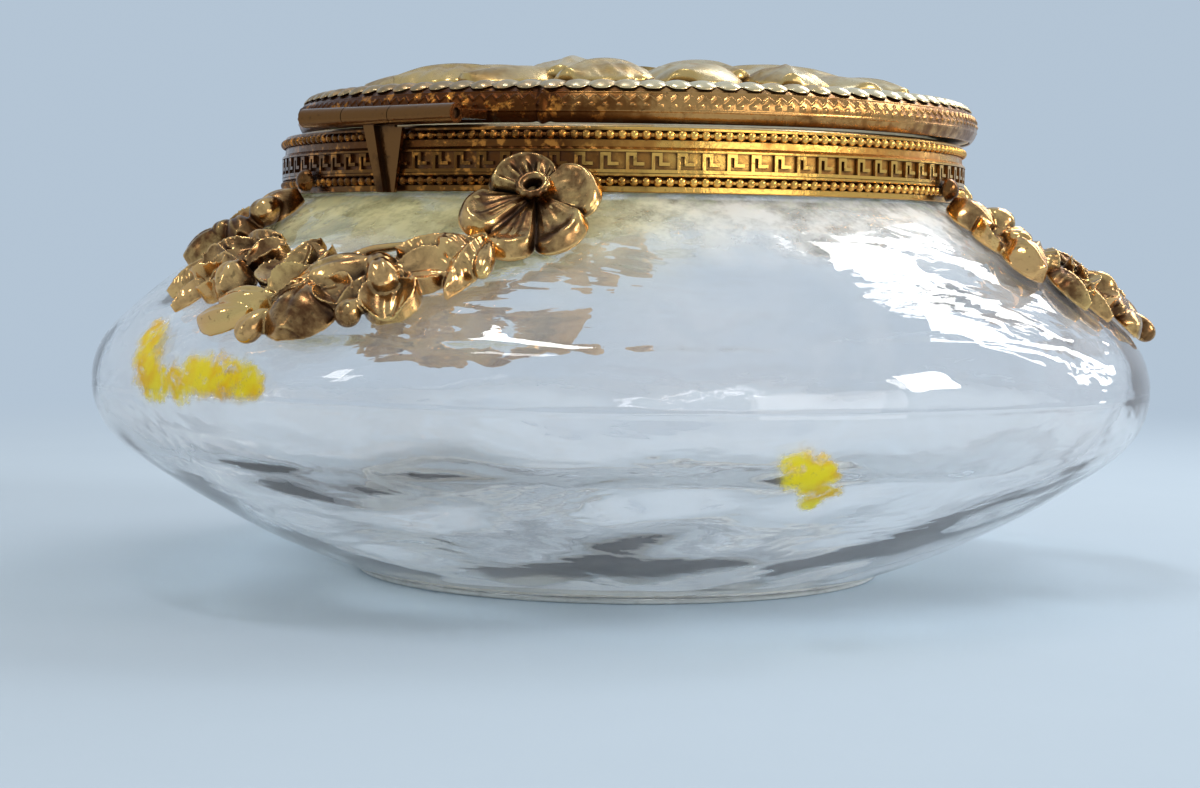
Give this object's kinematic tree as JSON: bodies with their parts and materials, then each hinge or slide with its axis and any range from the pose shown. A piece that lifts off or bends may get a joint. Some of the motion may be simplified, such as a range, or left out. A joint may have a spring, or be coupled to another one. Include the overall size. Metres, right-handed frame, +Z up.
{
  "type": "glass casket box",
  "caption": "Round squat clear-glass box with a stamped brass collar, a hinged domed brass lid and flower garlands on its shoulder.",
  "frame": {"origin": "middle of the foot, on the table", "axes": "+Z up, +Y towards the hinge, X along the hinge pin"},
  "size_m": [0.18, 0.1809, 0.0869],
  "materials": {
    "clear_glass": "polished, faintly tinted, with old yellow stains",
    "cement": "matt off-white plaster",
    "gilt_brass": "worn gilt with brown patina in the hollows",
    "dark_brass": "brown patina, rubbed bright on the edges",
    "pale_brass": "rubbed pale brass",
    "pin_brass": "dull"
  },
  "bodies": {
    "bowl": {"glass_bowl": "clear_glass", "neck_cement": "cement", "collar_band": "dark_brass", "lower_beading": "gilt_brass", "upper_beading": "gilt_brass", "meander_strip": "gilt_brass", "lip_ring": "pale_brass", "hinge_strap": "dark_brass", "hinge_pin": "pin_brass", "back_garland": "gilt_brass", "back_flower": "pale_brass", "back_rivet": "gilt_brass", "back_stud": "dark_brass", "left_garland": "gilt_brass", "left_flower": "pale_brass", "left_rivet": "gilt_brass", "left_stud": "dark_brass", "right_garland": "gilt_brass", "right_flower": "pale_brass", "right_rivet": "gilt_brass", "right_stud": "dark_brass"},
    "lid": {"lid_rim": "dark_brass", "lid_bezel": "gilt_brass", "lid_plate": "pale_brass", "lid_backing": "gilt_brass", "lid_relief": "pale_brass", "lid_hinge_leaf": "dark_brass"}
  },
  "joints": [
    {"name": "lid_hinge", "type": "hinge", "parent": "bowl", "child": "lid", "pos_m": [0, 0.0597, 0.075], "axis": [-1, 0, 0], "range_deg": [0, 105]}
  ]
}
